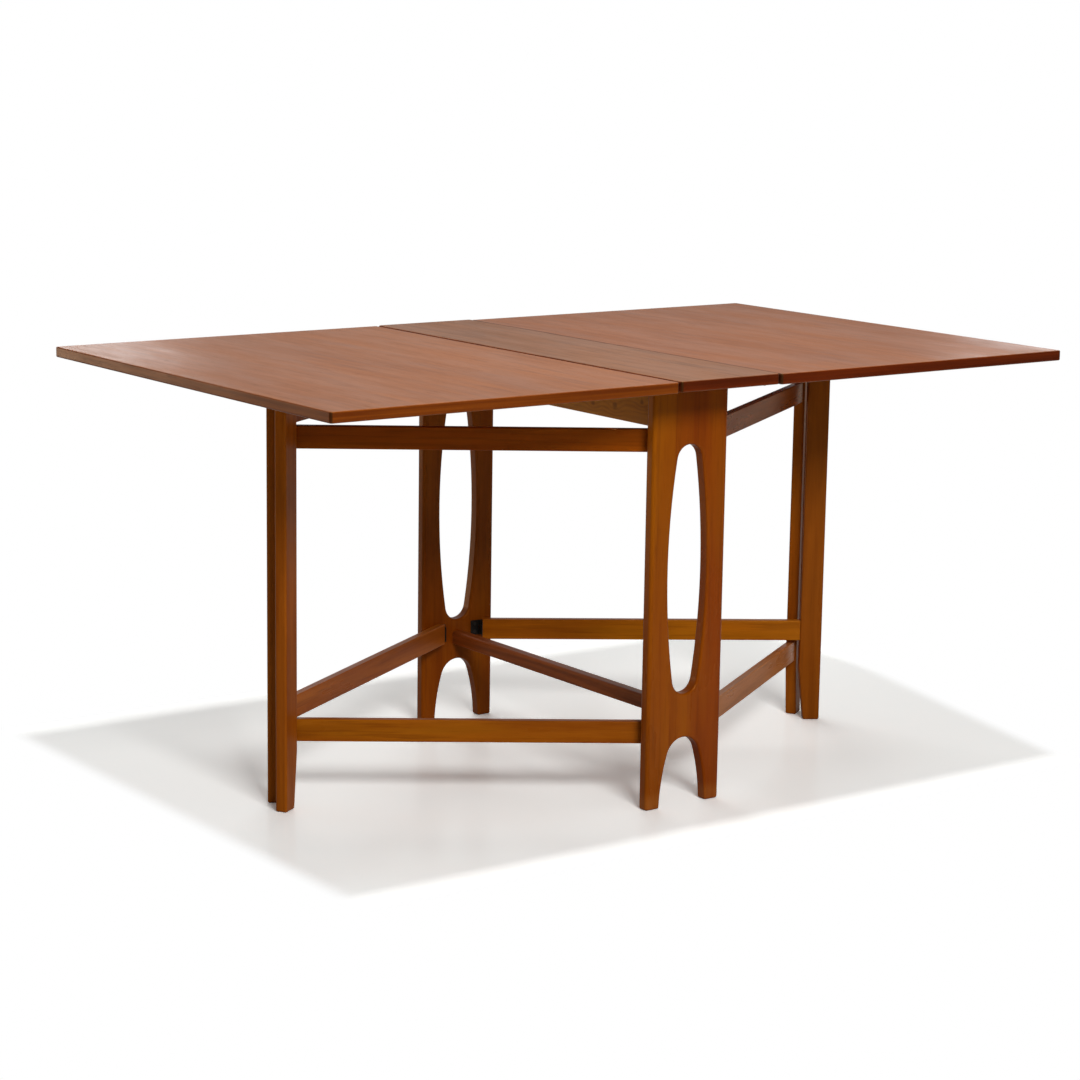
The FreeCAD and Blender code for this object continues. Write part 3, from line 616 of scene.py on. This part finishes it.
def make_floor():
    """A pale floor with a faint sheen, shaded under the table and white beyond it."""
    bpy.ops.mesh.primitive_plane_add(size=2 * FLOOR_HALF, location=(0, 0, 0))
    floor = bpy.context.object
    floor.name = "floor"
    graph = Graph(bpy.data.materials.new("pale_floor"))
    diffuse = graph.add("BsdfDiffuse", Color=FLOOR_DIFFUSE)
    # Seen directly, the floor is lifted to the brightness of an overexposed studio sweep.
    paper = graph.add("BsdfDiffuse", Color=FLOOR_PAPER)
    # The glow is painted warm light, as bounced off the wood into the floor's shade.
    painted_bounce = graph.add("Emission", Color=WARM_BOUNCE_COLOUR, Strength=FLOOR_PAINTED_BOUNCE)
    lifted = graph.add("AddShader", _0=graph.add("AddShader", _0=paper, _1=diffuse), _1=painted_bounce)
    sheen = graph.add("BsdfGlossy", Color=WHITE, Roughness=SHEEN_ROUGHNESS)
    shaded = graph.add("MixShader", _0=FLOOR_SHEEN, _1=lifted, _2=sheen)
    white = graph.add("Emission", Color=WHITE, Strength=1.0)
    east, north = graph.axes(graph.node("TexCoord").outputs["Object"])[:2]
    slanted = graph.math("MULTIPLY_ADD", north, -PATCH_SLANT, east)
    inside = 1.0
    for place, start in ((east, PATCH_LEFT), (north, PATCH_NEAR)):
        past_start = graph.remap(place, start - PATCH_FADE, start)
        inside = graph.math("MULTIPLY", inside, past_start)
    for place, end in ((north, PATCH_FAR), (slanted, PATCH_RIGHT)):
        before_end = graph.remap(place, end, end + PATCH_FADE, 1.0, 0.0)
        inside = graph.math("MULTIPLY", inside, before_end)
    seen = graph.node("LightPath").outputs["Is Camera Ray"]
    shown = graph.add("MixShader", _0=inside, _1=white, _2=shaded)
    from_above = graph.add("MixShader", _0=seen, _1=diffuse, _2=shown)
    # From below it lets the underside of the table be seen.
    below = graph.node("NewGeometry").outputs["Backfacing"]
    clear = graph.add("BsdfTransparent")
    surface = graph.add("MixShader", _0=below, _1=from_above, _2=clear)
    graph.add_output("Material", surface)
    floor.data.materials.append(graph.owner)
    return floor


def make_world():
    """A white backdrop behind the table, dimmer towards the front and overhead."""
    world = bpy.data.worlds.new("studio")
    bpy.context.scene.world = world
    graph = Graph(world)
    way = graph.node("TexCoord").outputs["Generated"]
    behind = graph.measure("DOT_PRODUCT", way, BACKDROP_WAY)
    level = graph.remap(behind, FRONT_END, 1.0, FRONT_LEVEL, BACKDROP_LEVEL)
    studio = graph.add("Background", Color=WHITE, Strength=level)
    white = graph.add("Background", Color=WHITE, Strength=1.0)
    seen = graph.node("LightPath").outputs["Is Camera Ray"]
    graph.add_output("World", graph.add("MixShader", _0=seen, _1=studio, _2=white))


def receivers(name, floor, state):
    """What a light reaches: the floor alone (INCLUDE), or everything but it (EXCLUDE)."""
    collection = bpy.data.collections.new(name)
    collection.objects.link(floor)
    collection.collection_objects[0].light_linking.link_state = state
    return collection


def area_light(name, place, target, size, power, colour=WHITE):
    """A light with its place, the point it is aimed at, its width and height, and its watts."""
    data = bpy.data.lights.new(name, "AREA")
    data.shape = "RECTANGLE"
    data.size, data.size_y = size
    data.energy = power
    data.color = colour[:3]
    lamp = bpy.data.objects.new(name, data)
    bpy.context.scene.collection.objects.link(lamp)
    lamp.location = place
    lamp.visible_camera = False
    lamp.rotation_euler = (Vector(target) - Vector(place)).to_track_quat("-Z", "Y").to_euler()
    return lamp


def make_lights(floor):
    area_light("top_softbox", (0.05, -0.30, 3.1), (0.05, -0.30, 0.0), (0.32, 0.32), 58.0)
    area_light("front_softbox", (-1.4, -4.3, 3.2), (0.0, 0.0, 0.4), (1.8, 1.2), 160.0)

    # The sheen cards are seen in gloss alone, and miss the floor, which would mirror them. Each
    # has its name, place, target, width and height, power and, unless it is white, colour.
    off_floor = receivers("reached_off_floor", floor, "EXCLUDE")
    amber, straw = (1.0, 0.72, 0.5), (1.0, 0.78, 0.55)
    for card in (
        ("left_sheen", (1.0, 4.6, 1.3), (-0.7, 0.3, 0.74), (1.2, 0.8), 9.5),
        ("right_sheen", (3.7, 2.3, 1.2), (0.7, -0.3, 0.74), (0.7, 0.6), 3.5),
        ("end_sheen", (-2.4, 4.1, 0.5), (-0.75, 0.1, 0.73), (1.2, 0.8), 20.0, amber),
        ("side_sheen", (4.4, 0.6, 0.2), (0.2, -0.2, 0.5), (1.4, 1.0), 2.5, straw),
    ):
        lamp = area_light(*card)
        lamp.visible_diffuse = False
        lamp.light_linking.receiver_collection = off_floor

    low_fill = area_light("low_fill", (0.8, 2.0, 1.1), (0.1, 0.0, 0.0), (1.6, 0.8), 17.0)
    low_fill.visible_glossy = False
    low_fill.light_linking.receiver_collection = receivers("reached_floor_only", floor, "INCLUDE")


# ---------------------------------------------------------------- camera

# The photograph's camera, fitted to the outlines of the table in it: angles in radians,
# distances in metres, and the focal length in pixels of the photograph.
AZIMUTH = -0.62800
ELEVATION = 0.19017
ROLL = 0.01507
TARGET = Vector((0.0, 0.0, 0.4))
DISTANCE = 4.87954
ASIDE = -0.04139
RAISED_BY = -0.00202
FOCAL_PIXELS = 2760.22
PHOTO_PIXELS = 1080
SENSOR_WIDTH = 36.0


def make_camera():
    """The photograph's view: from the front left, a little above the top."""
    back = Vector(
        (
            math.sin(AZIMUTH) * math.cos(ELEVATION),
            -math.cos(AZIMUTH) * math.cos(ELEVATION),
            math.sin(ELEVATION),
        )
    )
    right = Vector((math.cos(AZIMUTH), math.sin(AZIMUTH), 0.0))
    up = back.cross(right)
    place = TARGET + back * DISTANCE + right * ASIDE + up * RAISED_BY
    tilted_right = math.cos(ROLL) * right + math.sin(ROLL) * up
    tilted_up = -math.sin(ROLL) * right + math.cos(ROLL) * up
    data = bpy.data.cameras.new("camera")
    data.sensor_fit = "HORIZONTAL"
    data.sensor_width = SENSOR_WIDTH
    data.lens = FOCAL_PIXELS / PHOTO_PIXELS * SENSOR_WIDTH
    camera = bpy.data.objects.new("camera", data)
    bpy.context.scene.collection.objects.link(camera)
    turn = Matrix((tilted_right, tilted_up, back)).transposed().to_4x4()
    camera.matrix_world = Matrix.Translation(place) @ turn
    bpy.context.scene.camera = camera


dress_top()
dress_frame()
dress_gates()
dress_metal()
make_world()
make_lights(make_floor())
make_camera()
bpy.context.scene.view_settings.view_transform = "Standard"
